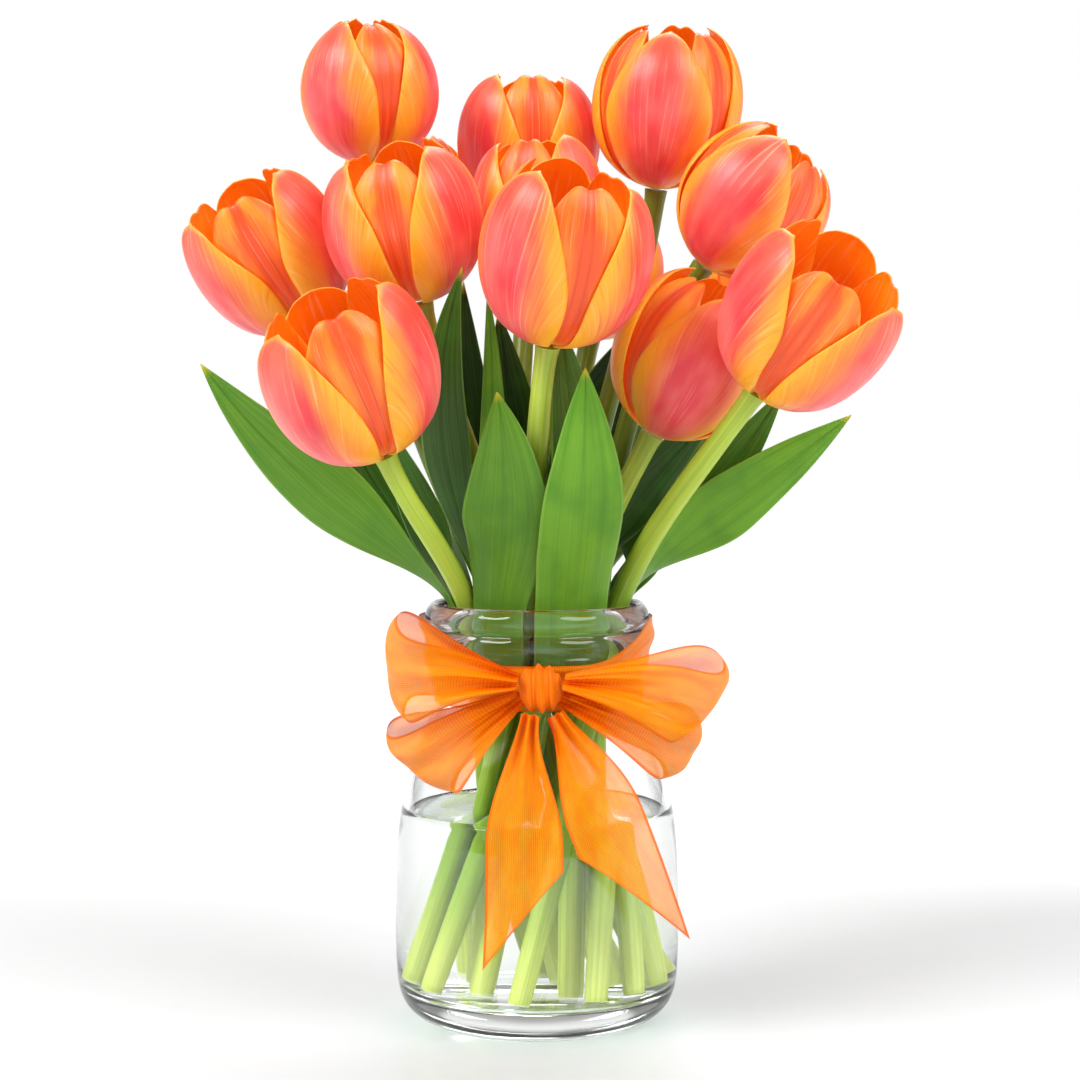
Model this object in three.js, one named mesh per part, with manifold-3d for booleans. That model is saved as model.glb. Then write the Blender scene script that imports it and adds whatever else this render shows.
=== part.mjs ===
// Orange tulips in a clear glass jar of water, with a sheer ribbon bow at the jar's neck.
// Millimetres, +Z up. The origin is the middle of the jar's flat underside, and -Y is the front.
import * as THREE from 'three';
import { mergeVertices } from 'three/addons/utils/BufferGeometryUtils.js';
import Module from 'manifold-3d';

const wasm = await Module();
wasm.setup();

// ---------------------------------------------------------------- driving dimensions
const GAP = 0.35;               // between solids that touch on the real thing
const DEG = Math.PI / 180;
const WELD = 0.02;              // points of one solid that are closer than this are one point

const BODY_RADIUS = 57;         // jar
const NECK_RADIUS = 40;
const LIP_RADIUS = 44.4;
const JAR_HEIGHT = 167.5;
const WALL = 3;
const FLOOR = 12;               // thickness of the glass under the water
const JAR_SIDES = 28;
const WATER_LEVEL = 85;
const WATER_SIDES = 18;
const WATER_INSET = 0.95;       // keeps the water's corners off the flats of the glass

const STEM_RADIUS = 4.3;
const STEM_SIDES = 6;
const STEM_STEPS = 7;
const NECK_Z = 150;             // height at which a stem's place in the neck is given
const FOOT_Z = FLOOR + 1.9;
const HOLE_RADIUS = 5.5;        // corner radius of the six-sided holes that stems make in water
const HOLE_SIDES = 6;

const PETAL_THICKNESS = 0.9;    // a little thicker than life, so that it is a sound solid
const PETAL_ACROSS = 4;
const PETAL_LOW_HANDLE = 0.08;  // heights of the handles of a petal's side view, as shares
const PETAL_HIGH_HANDLE = 0.84;
const PISTIL_TURN = 0.5;        // turns its corners off the middles of the petals
const PETAL_SWAY = 0.025;       // how much the petals of one bloom differ in height

// The two layers of petals. inset is the distance inside the outer layer, base and lift the
// radius and height at which a petal starts, dip how much lower the sides end than the middle,
// tip the extra height of the middle (below zero it is a notch), taper the loss of width at the
// tip, dome the rise of the middle as a share of the radius, and crease the depth of the furrow
// along the middle.
const OUTER = { halfAngle: 51 * DEG, rows: 4, inset: 0, base: 3.4, lift: 1.4, dip: 0.15, tip: 0.02,
  taper: 0.4, dome: 0.05, crease: 0 };
const INNER = { halfAngle: 47 * DEG, rows: 3, inset: 2.8, base: 2.2, lift: 2.6, dip: 0.1, tip: -0.05,
  taper: 0.34, dome: 0, crease: 1.1 };

const LEAF_THICKNESS = 0.9;
const LEAF_ACROSS = 4;
const LEAF_ROWS = 6;
const LEAF_FOOT_Z = 142;        // lower end of a leaf, inside the neck
const LEAF_BEND_Z = 162;        // here it starts to bend outwards
const LEAF_BEND_REACH = 20;
const LEAF_WAVE = 0.08;         // height of the waves of its edges, as a share of its width

const RIBBON_THICKNESS = 0.9;
const RIBBON_GATHERED = 3;      // half width of the ribbon where the knot gathers it
const BAND = { low: 129, frontHeight: 18, rearRise: 16, rows: 3, sides: 18 };
const KNOT = { x: 1.4, y: -49.6, z: 139, halfWidth: 8, halfDepth: 5.8, halfHeight: 8.6 };

// ---------------------------------------------------------------- colours
const glass = { color: 0xe8f0ee, roughness: 0.02, metalness: 0 };
const water = { color: 0xdfeeea, roughness: 0.02, metalness: 0 };
const petal = { color: 0xf2683f, roughness: 0.55, metalness: 0 };
const stemGreen = { color: 0xa9c63f, roughness: 0.5, metalness: 0 };
const leafGreen = { color: 0x4f8f35, roughness: 0.5, metalness: 0 };
const organza = { color: 0xf58a1c, roughness: 0.6, metalness: 0 };

const bouquet = new THREE.Group();

function addMesh(name, geometry, finish) {
  const mesh = new THREE.Mesh(geometry, new THREE.MeshStandardMaterial(finish));
  mesh.name = name;
  bouquet.add(mesh);
  return mesh;
}

// ---------------------------------------------------------------- solids
// A geometry as a manifold solid, and back.
function toSolid(geometry) {
  const bare = geometry.clone();
  bare.deleteAttribute('normal');
  bare.deleteAttribute('uv');
  const merged = mergeVertices(bare, 1e-4);
  return new wasm.Manifold(new wasm.Mesh({
    numProp: 3,
    vertProperties: new Float32Array(merged.attributes.position.array),
    triVerts: new Uint32Array(merged.index.array),
  }));
}

// Points closer than WELD become one, and the triangles that this closes up are left out.
function toGeometry(solid) {
  const mesh = solid.getMesh();
  const fine = new THREE.BufferGeometry();
  fine.setAttribute('position', new THREE.BufferAttribute(mesh.vertProperties, 3));
  fine.setIndex(new THREE.BufferAttribute(mesh.triVerts, 1));
  const geometry = mergeVertices(fine, WELD);
  const corners = geometry.index.array;
  const kept = [];
  for (let i = 0; i < corners.length; i += 3) {
    const [a, b, c] = corners.slice(i, i + 3);
    if (a !== b && b !== c && c !== a) kept.push(a, b, c);
  }
  return geometry.setIndex(kept);
}

// A closed blade of even thickness round a curved surface. surface(s, v) is a point of its
// middle, with s from -1 to 1 across and v from 0 to 1 along, and bias above 1 crowds the rows
// towards v = 0. Both faces are split alike.
function blade(surface, across, along, thickness, bias) {
  const step = 1e-3;
  const front = [];
  const back = [];
  for (let j = 0; j <= along; j++) {
    for (let i = 0; i <= across; i++) {
      const s = -1 + (2 * i) / across;
      const v = (j / along) ** bias;
      const middle = surface(s, v);
      const sideways = surface(Math.min(s + step, 1), v).sub(surface(Math.max(s - step, -1), v));
      const upwards = surface(s, Math.min(v + step, 1)).sub(surface(s, Math.max(v - step, 0)));
      const half = sideways.cross(upwards).setLength(thickness / 2);
      front.push(middle.clone().add(half));
      back.push(middle.clone().sub(half));
    }
  }
  const columns = across + 1;
  const count = front.length;
  const index = [];
  const wall = (a, b) => index.push(b, a, a + count, b, a + count, b + count);
  for (let j = 0; j < along; j++) {
    for (let i = 0; i < across; i++) {
      const a = j * columns + i;
      const b = a + 1;
      const c = b + columns;
      const d = a + columns;
      index.push(a, b, c, a, c, d);
      index.push(a + count, c + count, b + count, a + count, d + count, c + count);
    }
    wall(j * columns + across, (j + 1) * columns + across);
    wall((j + 1) * columns, j * columns);
  }
  for (let i = 0; i < across; i++) {
    wall(i, i + 1);
    wall(along * columns + i + 1, along * columns + i);
  }
  const geometry = new THREE.BufferGeometry();
  const points = [...front, ...back].flatMap((p) => [p.x, p.y, p.z]);
  geometry.setAttribute('position', new THREE.Float32BufferAttribute(points, 3));
  geometry.setIndex(index);
  return geometry;
}

function tube(curve, radius, sides, steps) {
  const outline = new THREE.Shape();
  for (let i = 0; i < sides; i++) {
    const angle = (2 * Math.PI * i) / sides;
    const at = [radius * Math.cos(angle), radius * Math.sin(angle)];
    if (i === 0) outline.moveTo(...at);
    else outline.lineTo(...at);
  }
  return new THREE.ExtrudeGeometry(outline, { steps, extrudePath: curve, bevelEnabled: false });
}

// A lathe about +Z from a profile of [radius, height] points.
function turned(profile, sides) {
  const points = profile.map(([radius, height]) => new THREE.Vector2(radius, height));
  return new THREE.LatheGeometry(points, sides).rotateX(90 * DEG);
}

const smooth = (x) => THREE.MathUtils.smoothstep(x, 0, 1);
const polar = (radius, azimuth, z) =>
  new THREE.Vector3(radius * Math.cos(azimuth * DEG), radius * Math.sin(azimuth * DEG), z);

// ---------------------------------------------------------------- the jar
// One glass: flat underside, rounded heel, near-straight body, shoulder, neck, ring and lip.
const jarOutside = [
  [0, 0], [43, 0], [50.5, 3.8], [55.4, 10.5], [BODY_RADIUS, 22], [BODY_RADIUS, 58],
  [55.3, 85], [48.6, 110], [NECK_RADIUS, 128], [NECK_RADIUS, 147], [43, 151], [43, 155.5],
  [41.4, 158], [LIP_RADIUS, 161], [LIP_RADIUS, 164.5], [42, JAR_HEIGHT],
];
const jarInside = [
  [40.2, 166.4], [NECK_RADIUS - WALL + 0.4, 147], [NECK_RADIUS - WALL, 129.5],
  [45.5, 109], [52.2, 85], [BODY_RADIUS - WALL, 58], [BODY_RADIUS - WALL, 22],
  [49.5, 14], [38, FLOOR], [0, FLOOR],
];
addMesh('vase', turned([...jarOutside, ...jarInside], JAR_SIDES), glass);

// ---------------------------------------------------------------- the tulips
// head: foot of the bloom. lean tilts it to the right, toward tilts it to the front and spin
// turns it about its own axis, in degrees. radius, height and mouth (the opening's share of
// the radius) shape the cup. neck and foot place the stem: [distance from axis, azimuth].
const tulips = [
  { head: [-67, 26, 344], lean: -3, toward: 6, spin: 22, radius: 27, height: 56, mouth: 0.38,
    neck: [14, 160], foot: [22, 70] },
  { head: [-4, 62, 324], lean: 0, toward: 8, spin: 8, radius: 28.5, height: 58, mouth: 0.55,
    neck: [14, 105], foot: [22, 15] },
  { head: [49, 38, 335], lean: 6.5, toward: 9, spin: 51, radius: 29.5, height: 64, mouth: 0.5,
    neck: [14, 32], foot: [22, 300] },
  { head: [66, 5, 302], lean: 37, toward: 12, spin: 43, radius: 29, height: 58, mouth: 0.52,
    neck: [25.7, 18.5], foot: [38, 303] },
  { head: [-89, 8, 279], lean: -31, toward: 20, spin: -3, radius: 29, height: 61, mouth: 0.74,
    neck: [26, 175], foot: [38, 87] },
  { head: [-45, -22, 286], lean: -11, toward: 14, spin: -8, radius: 29.5, height: 59, mouth: 0.6,
    neck: [14, 228], foot: [22, 135] },
  { head: [4, -58, 269], lean: 10, toward: 18, spin: 17, radius: 31, height: 65, mouth: 0.64,
    neck: [24, 253], foot: [38, 168] },
  { head: [-57, -58, 228], lean: -21, toward: 22, spin: 9, radius: 31.5, height: 63, mouth: 0.72,
    neck: [26.2, 204], foot: [38, 114] },
  { head: [45, -16, 235], lean: 27, toward: 10, spin: 68, radius: 29.5, height: 62, mouth: 0.55,
    neck: [24, 285], foot: [38, 200] },
  { head: [82, -60, 252], lean: 33, toward: 28, spin: 0, radius: 30, height: 62, mouth: 0.82,
    neck: [28.4, 339], foot: [38, 260] },
  { head: [2, 10, 294], lean: -2, toward: 6, spin: -16, radius: 25.5, height: 57, mouth: 0.6,
    neck: [14, 293], foot: [22, 215] },
  { head: [-60, 76, 300], lean: 5, toward: -4, spin: 60, radius: 27.5, height: 61, mouth: 0.55,
    neck: [26, 118], foot: [38, 33] },
  { head: [22, 68, 274], lean: 8, toward: -8, spin: 40, radius: 26, height: 52, mouth: 0.55,
    neck: [26, 84], foot: [38, 359] },
  { head: [-77, 40, 236], lean: -16, toward: -18, spin: 15, radius: 23, height: 56, mouth: 0.6,
    neck: [24, 144], foot: [38, 60] },
  { head: [81, 48, 249], lean: 12, toward: -20, spin: -20, radius: 27, height: 60, mouth: 0.6,
    neck: [26, 50], foot: [38, 331] },
];

const bezier = (a, b, c, d, t) =>
  a * (1 - t) ** 3 + 3 * b * t * (1 - t) ** 2 + 3 * c * t * t * (1 - t) + d * t ** 3;

// One petal as a surface in the bloom's own frame. Seen from the side it is a cubic Bezier
// curve from the receptacle to the mouth of the cup, whose widest point is the bloom's radius.
function petalSurface(tulip, layer, azimuth, sway) {
  const radius = tulip.radius - layer.inset;
  const mouth = tulip.mouth * tulip.radius - layer.inset;
  const height = tulip.height * (1 + PETAL_SWAY * sway);
  const belly = (8 * radius - layer.base - mouth) / 6;
  return (s, v) => {
    const peak = Math.max(0, 1 - 2 * Math.abs(s));
    const t = v * (1 - layer.dip * s * s) + layer.tip * peak * v ** 4;
    const late = Math.max(0, (v - 0.45) / 0.55);
    const spread = (0.86 + 0.14 * smooth(v / 0.35)) * (1 - layer.taper * late ** 3);
    const angle = azimuth + s * layer.halfAngle * spread;
    const r = bezier(layer.base, belly, belly, mouth, t)
      + smooth(v / 0.3) * (layer.dome * radius * (1 - s * s) - layer.crease * peak);
    const z = layer.lift + height * bezier(0, PETAL_LOW_HANDLE, PETAL_HIGH_HANDLE, 1, t);
    return new THREE.Vector3(r * Math.cos(angle), r * Math.sin(angle), z);
  };
}

// Three outer petals, three inner ones between them, the receptacle and the pistil in one.
function bloom(tulip, number) {
  const receptacle = [[0, 0], [STEM_RADIUS, 0], [6.6, 2.6], [1.2, 5.4]];
  const pistil = [[2.4, 0.46 * tulip.height], [0, 0.5 * tulip.height]];
  let solid = toSolid(turned([...receptacle, ...pistil], 6).rotateZ(PISTIL_TURN));
  for (let k = 0; k < 6; k++) {
    const layer = k % 2 === 0 ? OUTER : INNER;
    const azimuth = (-150 + 60 * k) * DEG;
    const sway = Math.sin(5.1 * k + 2.3 * number);
    const surface = petalSurface(tulip, layer, azimuth, sway);
    solid = solid.add(toSolid(blade(surface, PETAL_ACROSS, layer.rows, PETAL_THICKNESS, 0.9)));
  }
  return toGeometry(solid);
}

// A stem runs straight from its foot to its place in the neck, then bends to its bloom.
function stemCurve(tulip) {
  const foot = polar(tulip.foot[0], tulip.foot[1], FOOT_Z);
  const neck = polar(tulip.neck[0], tulip.neck[1], NECK_Z);
  const axis = new THREE.Vector3(0, 0, 1).applyEuler(bloomTurn(tulip));
  const head = new THREE.Vector3(...tulip.head).addScaledVector(axis, -GAP);
  const reach = head.distanceTo(neck) / 3;
  const onwards = neck.clone().sub(foot).setLength(reach);
  const path = new THREE.CurvePath();
  path.add(new THREE.LineCurve3(foot, neck));
  path.add(new THREE.CubicBezierCurve3(
    neck, neck.clone().add(onwards), head.clone().addScaledVector(axis, -reach), head));
  return path;
}

function bloomTurn(tulip) {
  return new THREE.Euler(tulip.toward * DEG, tulip.lean * DEG, tulip.spin * DEG, 'YXZ');
}

const holes = [];
tulips.forEach((tulip, number) => {
  const label = String(number + 1).padStart(2, '0');
  const flower = addMesh(`bloom_${label}`, bloom(tulip, number), petal);
  flower.position.set(...tulip.head);
  flower.rotation.copy(bloomTurn(tulip));
  addMesh(`stem_${label}`, tube(stemCurve(tulip), STEM_RADIUS, STEM_SIDES, STEM_STEPS), stemGreen);

  const foot = polar(tulip.foot[0], tulip.foot[1], FOOT_Z);
  const neck = polar(tulip.neck[0], tulip.neck[1], NECK_Z);
  const along = neck.clone().sub(foot);
  const below = foot.clone().addScaledVector(along, -0.05);
  const hole = new THREE.LineCurve3(below, foot.clone().addScaledVector(along, 0.65));
  holes.push(toSolid(tube(hole, HOLE_RADIUS, HOLE_SIDES, 1)));
});

// ---------------------------------------------------------------- the leaves
// A leaf stands in the neck at azimuth neck, ring from the axis, curved like the neck's wall.
// Above the lip its midrib is a cubic Bezier curve that leaves straight up, bends by bend and
// ends at tip. width is its greatest half width, root the share of it in the neck, and facing
// the azimuth in degrees that its outer face has turned to when it is clear of the neck.
const leaves = [
  { neck: 200.5, ring: 34.4, bend: [-84, -16, 202], tip: [-132, -16, 263],
    width: 15, root: 0.2, facing: 250 },
  { neck: 243, ring: 33.6, bend: [-7, -60, 205], tip: [-15, -58, 252],
    width: 18, root: 0.6, facing: 262 },
  { neck: 294, ring: 34.4, bend: [20, -69, 205], tip: [18, -65, 261],
    width: 16.5, root: 0.95, facing: 282 },
  { neck: 357, ring: 34.4, bend: [82, -12, 210], tip: [124, -12, 243],
    width: 13.5, root: 0.25, facing: 288 },
  { neck: 231, ring: 31, bend: [-14, -36, 230], tip: [-19, -36, 292],
    width: 5.8, root: 0.6, facing: 255 },
  { neck: 166.5, ring: 34.4, bend: [-60, 14, 196], tip: [-84, 18, 250],
    width: 9, root: 0.33, facing: 265 },
  { neck: 189.5, ring: 34.4, bend: [-46, -5, 200], tip: [-62, -10, 244],
    width: 9, root: 0.27, facing: 255 },
  { neck: 9, ring: 34.4, bend: [66, 2, 200], tip: [99, 0, 254],
    width: 11, root: 0.3, facing: 275 },
  { neck: 20.5, ring: 34.6, bend: [43, 12, 203], tip: [70, 16, 240],
    width: 8, root: 0.34, facing: 280 },
  { neck: 284, ring: 31, bend: [13, -30, 215], tip: [13, -27, 264],
    width: 9, root: 0.3, facing: 270 },
  { neck: 141, ring: 34.4, bend: [-57, 57, 205], tip: [-72, 87, 228],
    width: 13, root: 0.22, facing: 130 },
  { neck: 107, ring: 34.4, bend: [-13, 72, 215], tip: [-14, 84, 262],
    width: 14, root: 0.36, facing: 98 },
  { neck: 70, ring: 34.4, bend: [38, 66, 205], tip: [52, 92, 250],
    width: 13, root: 0.43, facing: 60 },
  { neck: 34, ring: 34.4, bend: [70, 30, 196], tip: [112, 38, 226],
    width: 13, root: 0.28, facing: 30 },
  { neck: 102.3, ring: 31.8, bend: [-31, 52, 191], tip: [-30, 23, 297],
    width: 11.1, root: 0.27, facing: 102 },
  { neck: 327.4, ring: 18.2, bend: [24, -6, 197], tip: [73, 10, 245],
    width: 12.9, root: 0.23, facing: 308 },
  { neck: 261.3, ring: 18.2, bend: [-2, -25, 192], tip: [-15, -28, 283],
    width: 13.4, root: 0.22, facing: 279 },
  { neck: 221.3, ring: 22.1, bend: [-52, -19, 222], tip: [-28, -54, 299],
    width: 10.6, root: 0.28, facing: 249 },
  { neck: 77.8, ring: 17.3, bend: [2, 52, 223], tip: [54, 49, 290],
    width: 14.1, root: 0.21, facing: 99 },
  { neck: 316.1, ring: 32.1, bend: [22, -56, 193], tip: [8, -36, 282],
    width: 13.4, root: 0.22, facing: 304 },
];

function midribOf(leaf) {
  const low = polar(leaf.ring, leaf.neck, LEAF_FOOT_Z);
  const high = polar(leaf.ring + GAP, leaf.neck, LEAF_BEND_Z);
  const above = high.clone().setZ(LEAF_BEND_Z + LEAF_BEND_REACH);
  const path = new THREE.CurvePath();
  path.add(new THREE.LineCurve3(low, high));
  path.add(new THREE.CubicBezierCurve3(
    high, above, new THREE.Vector3(...leaf.bend), new THREE.Vector3(...leaf.tip)));
  return path;
}

function leafSurface(leaf, number) {
  const midrib = midribOf(leaf);
  return (s, v) => {
    const along = midrib.getTangent(v);
    const turn = leaf.neck + (leaf.facing - leaf.neck) * smooth((v - 0.15) / 0.4);
    const side = along.clone().cross(polar(1, turn, 0)).normalize();
    const face = side.clone().cross(along).normalize();
    const late = Math.max(0, (v - 0.5) / 0.5);
    const spread = leaf.root + (1 - leaf.root) * smooth((v - 0.15) / 0.45);
    const half = leaf.width * spread * (1 - 0.97 * late ** 1.7);
    const curl = leaf.ring * (1 + 2.5 * v);
    const angle = (s * half) / curl;
    const wave = LEAF_WAVE * half * s * s * Math.sin(9 * v + number) * smooth((v - 0.2) / 0.3);
    return midrib.getPoint(v).addScaledVector(side, curl * Math.sin(angle))
      .addScaledVector(face, wave - curl * (1 - Math.cos(angle)));
  };
}

leaves.forEach((leaf, number) => {
  const label = String(number + 1).padStart(2, '0');
  const solid = blade(leafSurface(leaf, number), LEAF_ACROSS, LEAF_ROWS, LEAF_THICKNESS, 1.25);
  addMesh(`leaf_${label}`, solid, leafGreen);
});

// ---------------------------------------------------------------- the ribbon
// A band round the neck: low at the front, and drawn up over the ring and the lip elsewhere.
// It is turned as a thin ring, whose points are then moved to their places on the glass.
function neckBand() {
  const profile = [];
  for (let row = 0; row <= BAND.rows; row++) profile.push([2, row]);
  for (let row = BAND.rows; row >= 0; row--) profile.push([1, row]);
  profile.push([2, 0]);
  const geometry = turned(profile, BAND.sides);
  const place = geometry.attributes.position;
  for (let i = 0; i < place.count; i++) {
    const azimuth = Math.atan2(place.getY(i), place.getX(i));
    const out = Math.hypot(place.getX(i), place.getY(i)) - 1;
    const height = BAND.frontHeight + BAND.rearRise * smooth((Math.sin(azimuth) + 0.95) / 0.7);
    const z = BAND.low + (height * place.getZ(i)) / BAND.rows;
    const overRing = 3.4 * smooth((z - 138) / 8);
    const overLip = 1.4 * smooth((z - 150) / 8);
    const radius = NECK_RADIUS + 4 * GAP + overRing + overLip + RIBBON_THICKNESS * out;
    place.setXYZ(i, radius * Math.cos(azimuth), radius * Math.sin(azimuth), z);
  }
  return geometry;
}
addMesh('ribbon_band', neckBand(), organza);

const knot = new THREE.SphereGeometry(1, 9, 6).rotateX(90 * DEG);
knot.scale(KNOT.halfWidth, KNOT.halfDepth, KNOT.halfHeight);
addMesh('ribbon_knot', knot, organza).position.set(KNOT.x, KNOT.y, KNOT.z);

// A loop leaves the knot at start, opens towards the front, turns at reach from there in the
// direction angle (degrees from +X towards +Z) and comes back behind. turn slants its far end.
const loops = {
  ribbon_loop_left_high: {
    start: [-7.4, -55.2, 142.2], angle: 172, reach: 50, open: 3.8, half: 18, turn: -6 },
  ribbon_loop_left_low: {
    start: [-6.6, -44.9, 135.2], angle: 212, reach: 50, open: 3, half: 17, turn: 12 },
  ribbon_loop_right_high: {
    start: [10.2, -55.2, 142.2], angle: -3, reach: 58, open: 3.8, half: 18, turn: -12 },
  ribbon_loop_right_low: {
    start: [9.4, -44.9, 135.2], angle: -22, reach: 55, open: 3, half: 13, turn: -6 },
};

// Radius of the jar's outside at height z.
function jarRadius(z) {
  const above = jarOutside.findIndex(([, height]) => height > z);
  const [lowRadius, lowZ] = jarOutside[above - 1];
  const [highRadius, highZ] = jarOutside[above];
  return THREE.MathUtils.mapLinear(z, lowZ, highZ, lowRadius, highRadius);
}

function loopSurface(loop) {
  const out = new THREE.Vector2(Math.cos(loop.angle * DEG), Math.sin(loop.angle * DEG));
  const slant = (loop.angle + 90 + loop.turn) * DEG;
  const across = new THREE.Vector2(Math.cos(slant), Math.sin(slant));
  const [startX, startY, startZ] = loop.start;
  return (s, v) => {
    const away = Math.sin(Math.PI * v) ** 0.8;
    const half = RIBBON_GATHERED + (loop.half - RIBBON_GATHERED) * away;
    const x = startX + out.x * loop.reach * away + across.x * half * s;
    const z = startZ + out.y * loop.reach * away + across.y * half * s;
    const jarFront = Math.sqrt(Math.max(0, jarRadius(z) ** 2 - x ** 2)) + 6;
    const depth = 1.6 * Math.cos(Math.PI * v) + loop.open * Math.sin(2 * Math.PI * v);
    return new THREE.Vector3(x, Math.min(startY, -jarFront) - depth, z);
  };
}
for (const [name, loop] of Object.entries(loops)) {
  addMesh(name, blade(loopSurface(loop), 2, 8, RIBBON_THICKNESS, 1), organza);
}

// A tail hangs from under the knot in front of the jar. Its middle line is a cubic Bezier
// curve in x and z, and cut is the share of its length that the shorter edge lacks.
const tails = {
  ribbon_tail_left: { curve: [[-2.4, 129.7], [-7, 104], [-3, 78], [-6, 31]], cut: 0.32, longer: -1 },
  ribbon_tail_right: { curve: [[7, 129.7], [17, 112], [27, 92], [45, 37]], cut: 0.32, longer: 1 },
};

function tailSurface(tail) {
  const line = new THREE.CubicBezierCurve(...tail.curve.map((p) => new THREE.Vector2(...p)));
  return (s, v) => {
    const along = v * (1 - tail.cut * (1 - tail.longer * s) / 2);
    const middle = line.getPoint(along);
    const way = line.getTangent(along);
    const half = 3.6 + 11.2 * smooth(along / 0.6);
    const x = middle.x - way.y * half * s;
    const z = middle.y + way.x * half * s;
    const clear = 59.4 - 6 * smooth((z - 85) / 40);
    return new THREE.Vector3(x, -Math.sqrt(clear ** 2 - (0.6 * x) ** 2), z);
  };
}
for (const [name, tail] of Object.entries(tails)) {
  addMesh(name, blade(tailSurface(tail), 2, 6, RIBBON_THICKNESS, 1), organza);
}

// ---------------------------------------------------------------- the water
const waterProfile = [
  [0, FLOOR + GAP], [37.5, FLOOR + GAP], [48.6, 14.5], [BODY_RADIUS - WALL - WATER_INSET, 22.2],
  [BODY_RADIUS - WALL - WATER_INSET, 58], [52.2 - WATER_INSET, WATER_LEVEL], [0, WATER_LEVEL],
];
const stillWater = holes.reduce(
  (body, hole) => body.subtract(hole), toSolid(turned(waterProfile, WATER_SIDES)));
addMesh('water', toGeometry(stillWater), water);

export default bouquet;
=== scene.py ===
import math

import bpy
import numpy as np
from mathutils import Matrix, Vector


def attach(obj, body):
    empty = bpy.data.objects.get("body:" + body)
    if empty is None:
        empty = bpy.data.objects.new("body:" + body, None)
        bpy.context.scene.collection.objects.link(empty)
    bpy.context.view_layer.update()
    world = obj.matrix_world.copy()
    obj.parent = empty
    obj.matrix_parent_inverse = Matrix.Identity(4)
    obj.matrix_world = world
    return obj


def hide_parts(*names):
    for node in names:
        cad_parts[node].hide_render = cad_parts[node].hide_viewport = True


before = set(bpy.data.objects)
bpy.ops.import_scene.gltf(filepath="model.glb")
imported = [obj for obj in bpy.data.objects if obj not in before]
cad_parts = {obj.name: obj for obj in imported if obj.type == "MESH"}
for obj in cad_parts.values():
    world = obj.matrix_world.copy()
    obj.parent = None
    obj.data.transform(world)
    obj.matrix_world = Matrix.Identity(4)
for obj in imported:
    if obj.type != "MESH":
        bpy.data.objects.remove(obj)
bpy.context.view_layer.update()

# ============================================================ the camera
# It stands a metre from the jar's axis, at the height of the lowest flowers, and looks down a
# little. Its lens is long, so the vase is drawn almost without perspective.
CAMERA_PLACE = (0.0012, -1.0, 0.251)
LOOKS_DOWN = 3.32
lens = bpy.data.cameras.new("camera")
lens.sensor_width = 36
lens.lens = 83.33
camera = bpy.data.objects.new("camera", lens)
camera.location = CAMERA_PLACE
camera.rotation_euler = (math.radians(90 - LOOKS_DOWN), 0, 0)
bpy.context.scene.collection.objects.link(camera)
bpy.context.scene.camera = camera


# ============================================================ the jar
# A wide storage jar of clear soda-lime glass, blown in a mould: a thick flat base, a rounded
# heel, a shoulder, a short neck with a bead round it, and a fire-polished lip.
MM = 0.001
JAR_OUTSIDE = [(0, 0.9), (35, 0.9), (38, 0), (43, 0), (50.5, 3.8), (55.4, 10.5), (57, 22),
               (57, 58), (55.3, 85), (48.6, 110), (40, 128), (40, 147), (43.4, 151),
               (43.4, 155.5), (41.2, 158.2), (44.9, 160.4), (44.9, 165), (42.2, 168.2)]
JAR_INSIDE = [(40, 167), (37.4, 147), (37, 129.5), (45.5, 109), (52.2, 85), (54, 58),
              (54, 22), (49.5, 14), (38, 12), (0, 12)]
CORNER_CUTS, JAR_SEGMENTS = 3, 144


def hex_colour(code):
    """An sRGB hex colour as the linear values that a shader takes."""
    parts = [int(code[i:i + 2], 16) / 255 for i in (1, 3, 5)]
    return [c / 12.92 if c <= 0.04045 else ((c + 0.055) / 1.055) ** 2.4 for c in parts] + [1.0]


def feed(tree, node, inputs):
    """Sets a node's inputs. Each takes a value, a hex colour, a socket, or a node, whose first
    open outlet then feeds it. A list of nodes feeds one input with all of them."""
    for socket, given in inputs.items():
        for value in given if isinstance(given, list) else [given]:
            if isinstance(value, bpy.types.Node):
                value = next(outlet for outlet in value.outputs if outlet.enabled)
            if isinstance(value, bpy.types.NodeSocket):
                tree.links.new(value, node.inputs[socket])
            elif isinstance(value, str) and value.startswith("#"):
                node.inputs[socket].default_value = hex_colour(value)
            else:
                node.inputs[socket].default_value = value


def add_node(tree, kind, inputs=None, **settings):
    """Adds a node with its own settings and what its inputs take."""
    node = tree.nodes.new(kind)
    for name, value in settings.items():
        setattr(node, name, value)
    feed(tree, node, inputs or {})
    return node


def start_finish(name, sockets):
    """A new material, its node tree and its shader with the given sockets set."""
    material = bpy.data.materials.new(name)
    material.use_nodes = True
    tree = material.node_tree
    shader = tree.nodes["Principled BSDF"]
    feed(tree, shader, sockets)
    return material, tree, shader


def streaks(tree, place, scales, detail=2.0, roughness=0.5):
    """Noise whose cells are drawn out by the three scales of the place."""
    scaled = add_node(tree, "ShaderNodeVectorMath", {0: place, 1: scales}, operation="MULTIPLY")
    return add_node(tree, "ShaderNodeTexNoise", {
        "Vector": scaled, "Scale": 1.0, "Detail": detail, "Roughness": roughness})


def grain(tree, scale, detail=2.0):
    """Noise with cells of one size each way."""
    place = add_node(tree, "ShaderNodeTexCoord").outputs["Object"]
    return streaks(tree, place, (scale, scale, scale), detail)


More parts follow.
